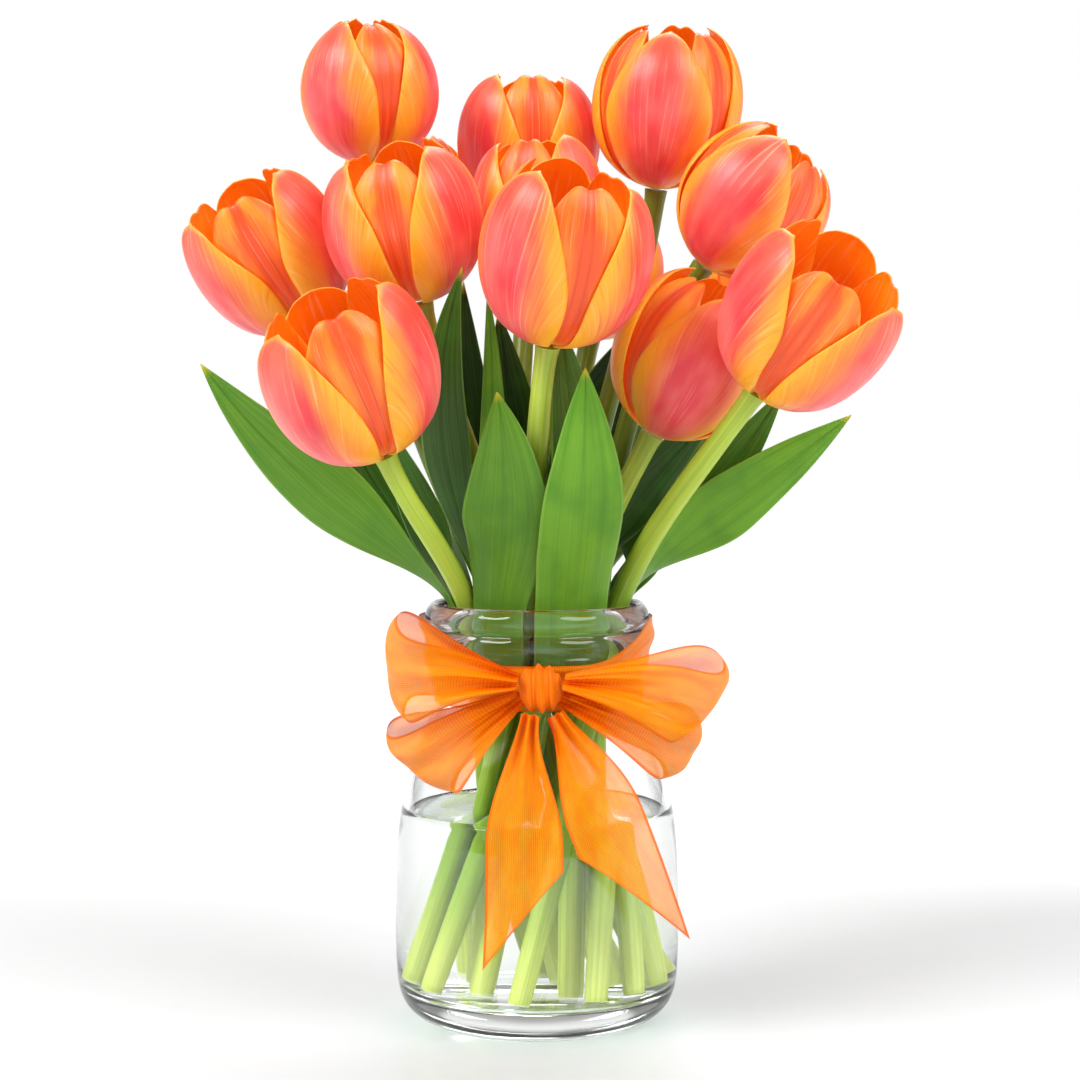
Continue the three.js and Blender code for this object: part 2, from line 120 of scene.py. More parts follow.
def make_piece(name, points, faces, finish, uv=None, values=None):
    """A smooth-shaded piece from points in millimetres. uv and the named values are per point."""
    mesh = bpy.data.meshes.new(name)
    mesh.from_pydata((np.asarray(points) * MM).tolist(), [], faces)
    mesh.shade_smooth()
    if uv is not None:
        corners = np.empty(len(mesh.loops), dtype=np.int32)
        mesh.loops.foreach_get("vertex_index", corners)
        layer = mesh.uv_layers.new(name="UVMap")
        layer.data.foreach_set("uv", np.asarray(uv, dtype=np.float32)[corners].ravel())
    for key, numbers in (values or {}).items():
        attribute = mesh.attributes.new(key, "FLOAT", "POINT")
        attribute.data.foreach_set("value", np.asarray(numbers, dtype=np.float32))
    mesh.materials.append(finish)
    piece = bpy.data.objects.new(name, mesh)
    bpy.context.scene.collection.objects.link(piece)
    return piece


def rounded(profile, times):
    """Cuts the corners of a profile away, times over, as molten glass rounds them."""
    profile = np.array(profile, dtype=float)
    for _ in range(times):
        near = 0.75 * profile[:-1] + 0.25 * profile[1:]
        far = 0.25 * profile[:-1] + 0.75 * profile[1:]
        cut = np.stack([near, far], axis=1).reshape(-1, 2)
        profile = np.vstack([profile[:1], cut, profile[-1:]])
    return profile


def ring_faces(rings, around):
    """Faces that join rings of points, and close both ends to two points that follow them."""
    faces = []
    for ring in range(rings - 1):
        for k in range(around):
            a, b = ring * around + k, ring * around + (k + 1) % around
            faces.append((a, b, b + around, a + around))
    count = rings * around
    last = count - around
    for k in range(around):
        following = (k + 1) % around
        faces += [(count, following, k), (last + k, last + following, count + 1)]
    return faces


def turned(profile, segments):
    """Points and faces turned about Z from a profile that starts and ends on the axis."""
    azimuth = 2 * np.pi * np.arange(segments) / segments
    radius, height = profile[1:-1, :1], profile[1:-1, 1:]
    rings = np.stack([radius * np.cos(azimuth), radius * np.sin(azimuth),
                      height + 0 * azimuth], axis=2)
    points = np.vstack([rings.reshape(-1, 3), [0, 0, profile[0, 1]], [0, 0, profile[-1, 1]]])
    return points, ring_faces(len(radius), segments)


# Clear container glass: no colour but a trace of green in the thick base, a polished skin, and
# the faint waves, some 35 mm long, that the mould leaves and that break up its reflections.
glass, tree, shader = start_finish("soda_lime_glass", {
    "Base Color": "#FEFFFF", "Roughness": 0.0, "IOR": 1.5, "Transmission Weight": 1.0})
feed(tree, shader, {"Normal": add_node(tree, "ShaderNodeBump", {
    "Height": grain(tree, 28.0, 1.0), "Strength": 0.05, "Distance": 0.004})})


def let_lamps_through(tree, shader, tint):
    """Lamps reach what stands behind the clear surface, less the light that it holds back."""
    shadow = add_node(tree, "ShaderNodeLightPath").outputs["Is Shadow Ray"]
    clear = add_node(tree, "ShaderNodeBsdfTransparent", {"Color": tint})
    mix = add_node(tree, "ShaderNodeMixShader", {0: shadow, 1: shader, 2: clear})
    feed(tree, tree.nodes["Material Output"], {"Surface": mix})


let_lamps_through(tree, shader, "#EDF1F0")
inside_wall = rounded(JAR_INSIDE, CORNER_CUTS)
outside_wall = rounded(JAR_OUTSIDE, CORNER_CUTS)
points, faces = turned(np.vstack([outside_wall[:-1], inside_wall]), JAR_SEGMENTS)
jar = make_piece("glass_jar", points, faces, glass)
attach(jar, "root")
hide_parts("vase")


# ============================================================ the water
# Fresh tap water that half fills the jar. It clings to the glass in a rim a millimetre high,
# and reaches a quarter of a millimetre into it, so that no film of air shows between them.
WATER_LEVEL = 85
INTO_GLASS = 0.25
JAR_FLOOR, WALL_AT_LEVEL = 12, 52.2

# Still water: no colour, and swells 25 mm across that are just enough to soften what it mirrors.
clear_water, tree, shader = start_finish("tap_water", {
    "Base Color": "#FEFFFF", "Roughness": 0.0, "IOR": 1.33, "Transmission Weight": 1.0})
feed(tree, shader, {"Normal": add_node(tree, "ShaderNodeBump", {
    "Height": grain(tree, 40.0, 0.0), "Strength": 0.04, "Distance": 0.002})})
let_lamps_through(tree, shader, "#F6F9F8")

wall = inside_wall[::-1] + [INTO_GLASS, 0]
wall = wall[wall[:, 1] < WATER_LEVEL - 1]
wall[:, 1] -= INTO_GLASS * (wall[:, 1] < JAR_FLOOR + 0.5)
edge = WALL_AT_LEVEL + INTO_GLASS
rim = np.array([(0, 1.1), (-0.5, 0.9), (-1.1, 0.5), (-2, 0.2), (-3.4, 0.05), (-5, 0)])
profile = np.vstack([[0, wall[0, 1]], wall[1:], rim + [edge, WATER_LEVEL], (0, WATER_LEVEL)])
points, faces = turned(profile, JAR_SEGMENTS)
water = make_piece("water_in_jar", points, faces, clear_water)
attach(water, "root")
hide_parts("water")


# ============================================================ the stems
# Fifteen fleshy tulip stems, 8 to 9 mm thick. Each stands on the jar's floor, leans on the neck
# and bends up to its flower. They are swept along their paths and cut straight at the foot.

# A row holds: foot of the bloom, its (lean, toward, spin) in degrees, its (radius, height,
# mouth), and the stem's place in the neck and at the foot as (distance from axis, azimuth).
TULIPS = [
    ((-67, 26, 344), (-3, 6, 22), (27, 56, 0.38), (14, 160), (22, 70)),
    ((-4, 62, 324), (0, 8, 8), (28.5, 58, 0.55), (14, 105), (22, 15)),
    ((49, 38, 335), (6.5, 9, 51), (29.5, 64, 0.5), (14, 32), (22, 300)),
    ((66, 5, 302), (37, 12, 43), (29, 58, 0.52), (25.7, 18.5), (38, 303)),
    ((-89, 8, 279), (-31, 20, -3), (29, 61, 0.74), (26, 175), (38, 87)),
    ((-45, -22, 286), (-11, 14, -8), (29.5, 59, 0.6), (14, 228), (22, 135)),
    ((4, -58, 269), (10, 18, 17), (31, 65, 0.64), (24, 253), (38, 168)),
    ((-57, -58, 228), (-21, 22, 9), (31.5, 63, 0.72), (26.2, 204), (38, 114)),
    ((45, -16, 235), (27, 10, 68), (29.5, 62, 0.55), (24, 285), (38, 200)),
    ((82, -60, 252), (33, 28, 0), (30, 62, 0.82), (28.4, 339), (38, 260)),
    ((2, 10, 294), (-2, 6, -16), (25.5, 57, 0.6), (14, 293), (22, 215)),
    ((-60, 76, 300), (5, -4, 60), (27.5, 61, 0.55), (26, 118), (38, 33)),
    ((22, 68, 274), (8, -8, 40), (26, 52, 0.55), (26, 84), (38, 359)),
    ((-77, 40, 236), (-16, -18, 15), (23, 56, 0.6), (24, 144), (38, 60)),
    ((81, 48, 249), (12, -20, -20), (27, 60, 0.6), (26, 50), (38, 331)),
]
STEM_RADIUS, STEM_SIDES = 4.3, 24
FOOT_Z, NECK_Z, INTO_BLOOM = 13.9, 150, 0.6
PATH_POINTS, STEM_POINTS = 120, 64


def polar(radius, azimuth, height):
    """A point at a distance from the jar's axis, in the direction of an azimuth in degrees."""
    angle = math.radians(azimuth)
    return np.array([radius * math.cos(angle), radius * math.sin(angle), height])


def turn_of(angles):
    """The turn of a bloom: spun about its axis, then tipped to the front, then to the right."""
    (cy, cx, cz), (sy, sx, sz) = np.cos(np.radians(angles)), np.sin(np.radians(angles))
    about_y = np.array([[cy, 0, sy], [0, 1, 0], [-sy, 0, cy]])
    about_x = np.array([[1, 0, 0], [0, cx, -sx], [0, sx, cx]])
    about_z = np.array([[cz, -sz, 0], [sz, cz, 0], [0, 0, 1]])
    return about_y @ about_x @ about_z


def bezier(a, b, c, d, t):
    """A cubic curve from a to d, which sets out towards b and arrives from c."""
    return a * (1 - t) ** 3 + 3 * b * t * (1 - t) ** 2 + 3 * c * t * t * (1 - t) + d * t ** 3


def evenly(path, shares):
    """Points of a finely drawn path at the given shares of its length."""
    steps = np.linalg.norm(np.diff(path, axis=0), axis=1)
    run = np.concatenate([[0], np.cumsum(steps)]) / steps.sum()
    return np.stack([np.interp(shares, run, path[:, axis]) for axis in range(3)], axis=-1)


def stem_path(head, turn, neck, foot):
    """Points that go straight from the jar's floor into the neck, and bend from there up to
    the bloom, where they arrive along its axis."""
    low, middle = polar(*foot, FOOT_Z), polar(*neck, NECK_Z)
    axis = turn_of(turn)[:, 2]
    top = np.array(head, dtype=float) + axis * INTO_BLOOM
    reach = np.linalg.norm(top - middle) / 3
    onwards = (middle - low) / np.linalg.norm(middle - low) * reach
    t = np.linspace(0, 1, PATH_POINTS)[:, None]
    straight = low + (middle - low) * t
    bent = bezier(middle, middle + onwards, top - axis * reach, top, t)
    return evenly(np.vstack([straight, bent[1:]]), np.linspace(0, 1, STEM_POINTS))


def fade(tree, low, high, value, start, end, most=1.0):
    """Colour low, passing by most into colour high while value goes from start to end."""
    share = add_node(tree, "ShaderNodeMapRange", {
        "Value": value, "From Min": start, "From Max": end, "To Max": most},
        interpolation_type="SMOOTHSTEP")
    return add_node(tree, "ShaderNodeMix", {0: share, 6: low, 7: high}, data_type="RGBA")


def height_above_table(tree):
    """The height in metres of the point that is shaded."""
    place = add_node(tree, "ShaderNodeTexCoord").outputs["Object"]
    return add_node(tree, "ShaderNodeSeparateXYZ", {0: place}).outputs["Z"]


# Tulip stem: a waxy skin, yellow-green above and paler at the foot, with fine ribs along it.
# The fibres are about 0.3 mm apart on a real stem and are drawn 1.1 mm apart.
stem_skin, tree, shader = start_finish("tulip_stem", {
    "Roughness": 0.34, "Subsurface Weight": 0.12, "Subsurface Scale": 0.002,
    "Subsurface Radius": (0.8, 1.0, 0.25), "Specular IOR Level": 0.45})
along, around, tone, shade = [
    add_node(tree, "ShaderNodeAttribute", attribute_name=name).outputs["Fac"]
    for name in ("along", "around", "tone", "shade")]
place = add_node(tree, "ShaderNodeCombineXYZ", {"X": around, "Y": along, "Z": tone})
fibres = streaks(tree, place, (24.0, 3.0, 9.0), 3.0)
height = height_above_table(tree)
skin = fade(tree, "#CFDA66", "#8CB226", along, 0.02, 0.22)
skin = fade(tree, skin, "#7CAC24", along, 0.3, 0.5)
skin = fade(tree, skin, "#BCD846", along, 0.55, 0.75)
skin = fade(tree, skin, "#A4BC3C", along, 0.92, 1.0)
# Painted shade: the stems of the blooms behind are darkened above the neck, where the flowers shade
# them.
skin = fade(tree, skin, "#44681A", along, 0.5, 0.68, shade)
skin = fade(tree, skin, "#5C8C18", fibres, 0.42, 0.8, 0.4)
skin = fade(tree, skin, "#DDEB9C", fibres, 0.45, 0.25, 0.35)
skin = fade(tree, "#E3EBB4", skin, height, (FOOT_Z + 0.15) * MM, (FOOT_Z + 1.6) * MM)
feed(tree, shader, {"Base Color": skin, "Normal": add_node(tree, "ShaderNodeBump", {
    "Height": fibres, "Strength": 0.18, "Distance": 0.0005})})


def start_group(name, inputs):
    """A new geometry node tree, what its inputs give, and their sockets by name."""
    tree = bpy.data.node_groups.new(name, "GeometryNodeTree")
    sockets = {key: tree.interface.new_socket(key, in_out="INPUT", socket_type="NodeSocket" + kind)
               for key, kind in inputs.items()}
    tree.interface.new_socket("Grown", in_out="OUTPUT", socket_type="NodeSocketGeometry")
    return tree, add_node(tree, "NodeGroupInput").outputs, sockets


# The sweep: every path becomes a curve, and a ring of the stem's girth is drawn along it.
sweep, given, sweep_sockets = start_group("stem_sweep", {
    "Paths": "Geometry", "Radius": "Float", "Sides": "Int", "Skin": "Material"})
flare = add_node(sweep, "GeometryNodeInputNamedAttribute", {"Name": "girth"}, data_type="FLOAT")
curves = add_node(sweep, "GeometryNodeMeshToCurve", {"Mesh": given["Paths"]})
ring = add_node(sweep, "GeometryNodeCurvePrimitiveCircle", {
    "Resolution": given["Sides"], "Radius": given["Radius"]})
place = add_node(sweep, "GeometryNodeSplineParameter").outputs["Factor"]
ring = add_node(sweep, "GeometryNodeStoreNamedAttribute", {
    "Geometry": ring, "Name": "around", "Value": place}, data_type="FLOAT", domain="POINT")
swept = add_node(sweep, "GeometryNodeCurveToMesh", {
    "Curve": curves, "Profile Curve": ring, "Scale": flare, "Fill Caps": True})
swept = add_node(sweep, "GeometryNodeSetShadeSmooth", {"Geometry": swept})
swept = add_node(sweep, "GeometryNodeRealizeInstances", {"Geometry": swept})
swept = add_node(sweep, "GeometryNodeSetMaterial", {"Geometry": swept, "Material": given["Skin"]})
add_node(sweep, "NodeGroupOutput", {"Grown": swept})


def make_lines(name, paths, values):
    """Open lines through the given points, with values per point."""
    mesh = bpy.data.meshes.new(name)
    edges, start = [], 0
    for path in paths:
        edges += [(start + i, start + i + 1) for i in range(len(path) - 1)]
        start += len(path)
    mesh.from_pydata((np.vstack(paths) * MM).tolist(), edges, [])
    for key, numbers in values.items():
        attribute = mesh.attributes.new(key, "FLOAT", "POINT")
        attribute.data.foreach_set("value", np.asarray(numbers, dtype=np.float32))
    piece = bpy.data.objects.new(name, mesh)
    bpy.context.scene.collection.objects.link(piece)
    return piece


def grow(piece, tree, sockets, sizes):
    """Runs a node tree on a piece with the sizes given by name, and keeps its result as a mesh."""
    nodes = piece.modifiers.new(tree.name, "NODES")
    nodes.node_group = tree
    for key, value in sizes.items():
        nodes[sockets[key].identifier] = value
    graph = bpy.context.evaluated_depsgraph_get()
    graph.update()
    grown = bpy.data.meshes.new_from_object(piece.evaluated_get(graph), depsgraph=graph)
    piece.modifiers.remove(nodes)
    piece.data = grown


chance = np.random.default_rng(11)
paths, girths, shares, tones, painted_shades = [], [], [], [], []
for head, turn, cup, neck, foot in TULIPS:
    share = np.linspace(0, 1, STEM_POINTS)
    phase = chance.uniform(0, 6)
    girth = 1 + 0.03 * np.sin(5 * share + phase) - 0.07 * np.exp(-((share - 0.93) / 0.05) ** 2)
    girth += 0.12 * np.clip((share - 0.975) / 0.025, 0, 1) ** 2 - 0.05 * (share == 0)
    paths.append(stem_path(head, turn, neck, foot))
    girths.append(girth)
    shares.append(share)
    tones.append(np.full(STEM_POINTS, chance.uniform(0, 1)))
    # Painted shade: 0.7 for the stems of the blooms behind, 0 for those in front.
    painted_shades.append(np.full(STEM_POINTS, 0.0 if head[1] < -12 and abs(turn[0]) > 9 else 0.7))
stems = make_lines("tulip_stems", paths, {
    "girth": np.concatenate(girths), "along": np.concatenate(shares),
    "tone": np.concatenate(tones), "shade": np.concatenate(painted_shades)})
grow(stems, sweep, sweep_sockets, {
    "Radius": STEM_RADIUS * MM, "Sides": STEM_SIDES, "Skin": stem_skin})
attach(stems, "root")
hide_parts(*[f"stem_{number + 1:02d}" for number in range(len(TULIPS))])


# ============================================================ the leaves
# Long smooth tulip leaves. Each stands in the neck between the stems, curved like its wall, and
# then bends outwards. The front ones are bright, and those behind are darkened by painted shade.

# A row holds: azimuth and distance from the axis in the neck, the point it bends by, its tip,
# greatest half width, that width's share in the neck, the azimuth it turns to face, and its
# brightness under painted shade, from 0, darkest, to 1, unshaded.
LEAVES = [
    (200.5, 34.4, (-84, -16, 202), (-132, -16, 263), 15, 0.2, 250, 0.6),
    (243, 33.6, (-7, -60, 205), (-15, -58, 252), 18, 0.6, 262, 0.75),
    (294, 34.4, (20, -69, 205), (18, -65, 261), 16.5, 0.95, 282, 0.95),
    (357, 34.4, (82, -12, 210), (124, -12, 243), 13.5, 0.25, 288, 0.9),
    (231, 31, (-14, -36, 230), (-19, -36, 292), 5.8, 0.6, 255, 0.75),
    (166.5, 34.4, (-60, 14, 196), (-84, 18, 250), 9, 0.33, 265, 0.2),
    (189.5, 34.4, (-46, -5, 200), (-62, -10, 244), 9, 0.27, 255, 0.25),
    (9, 34.4, (66, 2, 200), (99, 0, 254), 11, 0.3, 275, 0.3),
    (20.5, 34.6, (43, 12, 203), (70, 16, 240), 8, 0.34, 280, 0.35),
    (284, 31, (13, -30, 215), (13, -27, 264), 9, 0.3, 270, 0.15),
    (141, 34.4, (-57, 57, 205), (-72, 87, 228), 13, 0.22, 130, 0.5),
    (107, 34.4, (-13, 72, 215), (-14, 84, 262), 14, 0.36, 98, 0.7),
    (70, 34.4, (38, 66, 205), (52, 92, 250), 13, 0.43, 60, 0.45),
    (34, 34.4, (70, 30, 196), (112, 38, 226), 13, 0.28, 30, 0.6),
    (102.3, 31.8, (-31, 52, 191), (-30, 23, 297), 11.1, 0.27, 102, 0.05),
    (327.4, 18.2, (24, -6, 197), (73, 10, 245), 12.9, 0.23, 308, 0.15),
    (261.3, 18.2, (-2, -25, 192), (-15, -28, 283), 13.4, 0.22, 279, 0.1),
    (221.3, 22.1, (-52, -19, 222), (-28, -54, 299), 10.6, 0.28, 249, 0.2),
    (77.8, 17.3, (2, 52, 223), (54, 49, 290), 14.1, 0.21, 99, 0.0),
    (316.1, 32.1, (22, -56, 193), (8, -36, 282), 13.4, 0.22, 304, 0.25),
]
LEAF_COLUMNS, LEAF_ROWS = 26, 84

# Heights where the neck holds a leaf and where it lets it go, how much higher it stays upright,
# and the heights in metres between which painted shade darkens it downwards in the crowded neck.
IN_NECK, ABOVE_NECK, UPRIGHT = 142, 162, 20
SHADED_FROM, SHADED_FULLY = 0.168, 0.146
RIB_POINTS = 400


def smooth(x):
    """A share from 0 to 1 that starts and ends gently."""
    x = np.clip(x, 0, 1)
    return x * x * (3 - 2 * x)


def grid(columns, rows):
    """Places across, from -1 to 1, and along, from 0 to 1, of a blade's points."""
    return np.meshgrid(np.linspace(-1, 1, columns + 1), np.linspace(0, 1, rows + 1))


def grid_faces(rows, columns):
    wide = columns + 1
    corners = [j * wide + i for j in range(rows) for i in range(columns)]
    return [(a, a + 1, a + 1 + wide, a + wide) for a in corners]


def blade(middle, thickness):
    """Points and faces of a closed blade round a grid of middle points."""
    rows, columns = middle.shape[0] - 1, middle.shape[1] - 1
    normal = np.cross(np.gradient(middle, axis=1), np.gradient(middle, axis=0))
    normal /= np.maximum(np.linalg.norm(normal, axis=2, keepdims=True), 1e-9)
    half = normal * thickness[..., None] / 2
    points = np.vstack([(middle + half).reshape(-1, 3), (middle - half).reshape(-1, 3)])
    wide, back = columns + 1, (rows + 1) * (columns + 1)
    faces = []
    for a, b, c, d in grid_faces(rows, columns):
        faces += [(a, b, c, d), (a + back, d + back, c + back, b + back)]
    around = [(i, i + 1) for i in range(columns)]
    around += [(j * wide + columns, (j + 1) * wide + columns) for j in range(rows)]
    around += [(rows * wide + i + 1, rows * wide + i) for i in range(columns)]
    around += [((j + 1) * wide, j * wide) for j in range(rows)]
    faces += [(b, a, a + back, b + back) for a, b in around]
    return points, faces


def leaf_middle(row, number, across, along):
    """The middle surface of a leaf: its rib's path, and across it a curl, waves and a groove."""
    neck, ring, bend, tip, width, root, facing, shade = row
    low, high = polar(ring, neck, IN_NECK), polar(ring + 0.35, neck, ABOVE_NECK)
    above = high + [0, 0, UPRIGHT]
    shares = np.linspace(0, 1, RIB_POINTS)
    t = shares[:, None]
    bent = bezier(high, above, np.array(bend, dtype=float), np.array(tip, dtype=float), t)
    path = np.vstack([low + (high - low) * t, bent[1:]])
    rib = evenly(path, shares)
    tangent = np.gradient(rib, axis=0)
    tangent /= np.linalg.norm(tangent, axis=1, keepdims=True)

    def pick(table):
        return np.stack([np.interp(along, shares, table[:, k]) for k in range(3)], axis=-1)

    turn = np.radians(neck + (facing - neck) * smooth((along - 0.15) / 0.4))
    outwards = np.stack([np.cos(turn), np.sin(turn), 0 * turn], axis=-1)
    way = pick(tangent)
    side = np.cross(way, outwards)
    side /= np.linalg.norm(side, axis=-1, keepdims=True)
    face = np.cross(side, way)
    late = np.clip((along - 0.5) / 0.5, 0, 1)
    spread = root + (1 - root) * smooth((along - 0.15) / 0.45)
    half = width * spread * (1 - 0.985 * late ** 1.8)
    curl = ring * (1 + 2.5 * along)
    angle = across * half / curl
    lively = smooth((along - 0.2) / 0.3)
    wave = 0.08 * half * across ** 2 * np.sin(9 * along + number) * lively
    frill = np.sin(23 * along + 2 * number + 1.5 * across)
    wave += 0.035 * half * np.abs(across) ** 3 * frill * lively
    groove = -0.5 * np.exp(-(across / 0.07) ** 2) * lively
    return pick(rib) + side * (curl * np.sin(angle))[..., None] \
        + face * (wave + groove - curl * (1 - np.cos(angle)))[..., None]


# Tulip leaf: a thick smooth blade with a blue-green bloom of wax, veins side by side along it,
# and a thin pale edge. The veins are about 0.8 mm apart on a real leaf and are drawn 1.3 mm apart.
leaf_skin, tree, shader = start_finish("tulip_leaf", {
    "Roughness": 0.36, "Subsurface Weight": 0.08, "Subsurface Scale": 0.002,
    "Subsurface Radius": (0.5, 1.0, 0.2), "Specular IOR Level": 0.28})
flat = add_node(tree, "ShaderNodeUVMap", uv_map="UVMap")
parts = add_node(tree, "ShaderNodeSeparateXYZ", {0: flat})
u, v = parts.outputs["X"], parts.outputs["Y"]
shade = add_node(tree, "ShaderNodeAttribute", attribute_name="shade").outputs["Fac"]
veins = streaks(tree, flat, (34.0, 1.6, 1.0), 4.0, 0.6)
off_middle = add_node(tree, "ShaderNodeMath", {0: u, 1: 0.5}, operation="SUBTRACT")
off_middle = add_node(tree, "ShaderNodeMath", {0: off_middle}, operation="ABSOLUTE")
# Painted shade: the shade value mixes a lit green with a dark shaded copy, and the leaves deepest
# in the flowers go darker still.
skin = add_node(tree, "ShaderNodeMix", {0: shade, 6: "#0A2A05", 7: "#6EA824"}, data_type="RGBA")
skin = fade(tree, skin, "#34701A", streaks(tree, flat, (7.0, 0.9, 1.0)), 0.4, 0.7, 0.4)
skin = fade(tree, skin, "#7CB236", veins, 0.35, 0.72, 0.4)
skin = fade(tree, skin, "#0A2C06", shade, 0.4, 0.0, 0.7)
skin = fade(tree, skin, "#3C7C22", grain(tree, 55.0), 0.45, 0.75, 0.4)
skin = fade(tree, skin, "#8DB84A", off_middle, 0.455, 0.5, 0.7)
# Painted shade: the leaves darken downwards into the crowded neck.
skin = fade(tree, skin, "#2E4A0C", height_above_table(tree), SHADED_FROM, SHADED_FULLY, 0.85)
skin = fade(tree, skin, "#D9C63A", v, 0.96, 1.0, 0.7)
feed(tree, shader, {"Base Color": skin, "Normal": add_node(tree, "ShaderNodeBump", {
    "Height": veins, "Strength": 0.5, "Distance": 0.0005})})

across, along = grid(LEAF_COLUMNS, LEAF_ROWS)
for number, row in enumerate(LEAVES):
    thickness = 0.35 + 0.55 * (1 - across ** 2) * (1 - 0.6 * along)
    points, faces = blade(leaf_middle(row, number, across, along), thickness)
    uv = np.stack([(across.ravel() + 1) / 2, along.ravel()], axis=1)
    leaf = make_piece(f"tulip_leaf_{number + 1:02d}", points, faces, leaf_skin,
                      np.vstack([uv, uv]), {"shade": np.full(len(points), row[7])})
    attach(leaf, "root")
    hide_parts(f"leaf_{number + 1:02d}")


# ============================================================ the blooms
# Fifteen half-open tulips of one orange and salmon variety. Each has three outer petals with
# yellow margins and, in the gaps between them, three inner ones with a furrow along the middle.

# Each layer: half width in degrees, radius inside the outer layer, radius and height of the
# foot, how much lower the sides end, extra height of the middle, loss of width at the tip,
# rise of the middle, depth of the furrow, and how far its margins bend in.
OUTER_PETAL = dict(half=51, inset=0, base=3.4, lift=1.4, dip=0.15, tip=0.02, taper=0.4, dome=0.05,
                   crease=0, snug=1.7)
INNER_PETAL = dict(half=47, inset=2.8, base=2.2, lift=2.6, dip=0.1, tip=-0.05, taper=0.34, dome=0,
                   crease=1.1, snug=0.2)
PETAL_COLUMNS, PETAL_ROWS = 34, 42


def petal_middle(cup, layer, azimuth, sway, phase, across, along):
    """The middle surface of a petal that stands at an azimuth round the bloom's own axis."""
    radius, height, mouth = cup
    r_side, r_mouth = radius - layer["inset"], mouth * radius - layer["inset"]
    belly = (8 * r_side - layer["base"] - r_mouth) / 6
    peak = np.exp(-(across / 0.3) ** 2)
    point = np.exp(-(across / 0.07) ** 2)
    t = along * (1 - layer["dip"] * across ** 2 - 0.11 * across ** 6) \
        + layer["tip"] * peak * along ** 4
    if layer["tip"] > 0:
        t += 0.016 * point * along ** 9
    late = np.clip((along - 0.45) / 0.55, 0, 1)
    spread = (0.86 + 0.14 * smooth(along / 0.35)) * (1 - layer["taper"] * late ** 3)
    edge_wave = 0.018 * np.sin(11 * along + phase) * np.abs(across) ** 3 * smooth(along / 0.5)
    angle = azimuth + math.radians(layer["half"]) * (across * spread + edge_wave)
    soft = smooth(along / 0.3)
    furrow = np.exp(-(across / 0.2) ** 2) - 0.45 * np.exp(-(across / 0.05) ** 2)
    pleats = 0.14 * np.sin(17 * across + phase) * soft * (1 - 0.5 * along)
    r = bezier(layer["base"], belly, belly, r_mouth, t) + pleats \
        + soft * (layer["dome"] * radius * (1 - across ** 2) - layer["crease"] * furrow) \
        + 0.5 * np.abs(across) ** 3 * np.sin(8 * along + 2 * phase) * soft \
        - layer["snug"] * np.abs(across) ** 5 * soft
    z = layer["lift"] + height * (1 + 0.025 * sway) * bezier(0, 0.08, 0.84, 1, t)
    return np.stack([r * np.cos(angle), r * np.sin(angle), z], axis=-1)


# Tulip petal: a silky skin with fine veins that run up the middle and fan out to the margins.
# It is salmon pink outside, yellow at the margins, orange within; light passes a little into it,
# and a painted glow stands for the light that shines through.
# The veins are about 0.4 mm apart on a real petal and are drawn 0.9 mm apart.
petal_skin, tree, shader = start_finish("tulip_petal", {
    "Roughness": 0.34, "Subsurface Weight": 0.12, "Subsurface Scale": 0.002,
    "Subsurface Radius": (1.0, 0.45, 0.15), "Specular IOR Level": 0.5, "Sheen Weight": 0.04,
    "Sheen Roughness": 0.3})
parts = add_node(tree, "ShaderNodeSeparateXYZ", {
    0: add_node(tree, "ShaderNodeUVMap", uv_map="UVMap")})
u, v = parts.outputs["X"], parts.outputs["Y"]
inner, inside, tone = [add_node(tree, "ShaderNodeAttribute", attribute_name=name).outputs["Fac"]
                       for name in ("inner", "inside", "tone")]
off_middle = add_node(tree, "ShaderNodeMath", {0: u, 1: 2.0, 2: -1.0}, operation="MULTIPLY_ADD")
off_middle = add_node(tree, "ShaderNodeMath", {0: off_middle}, operation="ABSOLUTE")
closing = add_node(tree, "ShaderNodeMath", {0: v, 1: -1.1}, operation="MULTIPLY")
closing = add_node(tree, "ShaderNodeMath", {0: 2.72, 1: closing}, operation="POWER")
fan = add_node(tree, "ShaderNodeMath", {0: off_middle, 1: closing}, operation="MULTIPLY")
place = add_node(tree, "ShaderNodeCombineXYZ", {"X": fan, "Y": v, "Z": tone})
veins = streaks(tree, place, (66.0, 2.0, 20.0), 3.0, 0.6)
place = add_node(tree, "ShaderNodeCombineXYZ", {"X": u, "Y": v, "Z": tone})
clouds = streaks(tree, place, (5.0, 3.0, 31.0))
reach = add_node(tree, "ShaderNodeMath", {0: off_middle, 1: 0.35}, operation="SUBTRACT")
for pattern, share in ((clouds, 0.4), (veins, 0.3)):
    reach = add_node(tree, "ShaderNodeMath", {0: pattern, 1: share, 2: reach},
                     operation="MULTIPLY_ADD")
folds = add_node(tree, "ShaderNodeMath", {0: off_middle, 1: 0.09}, operation="SUBTRACT")
folds = add_node(tree, "ShaderNodeMath", {0: folds}, operation="ABSOLUTE")
flush = fade(tree, "#E83A46", "#F76C68", clouds, 0.3, 0.7)
flush = fade(tree, flush, "#F8662E", v, 0.5, 1.0, 0.6)
outer = fade(tree, flush, "#FA8C34", reach, 0.28, 0.66)
outer = fade(tree, outer, "#FFAE26", reach, 0.56, 0.9)
outer = fade(tree, outer, "#FFB43C", v, 0.94, 1.0, 0.8)
orange = fade(tree, "#F46418", "#FF9626", clouds, 0.3, 0.7)
within = fade(tree, "#F0561C", orange, reach, 0.06, 0.4)
within = fade(tree, within, "#FFAE38", reach, 0.65, 1.0)
# Painted shade: darker lines in the folds on both sides of an inner petal's furrow.
within = fade(tree, within, "#D63A10", folds, 0.05, 0.0, 0.5)
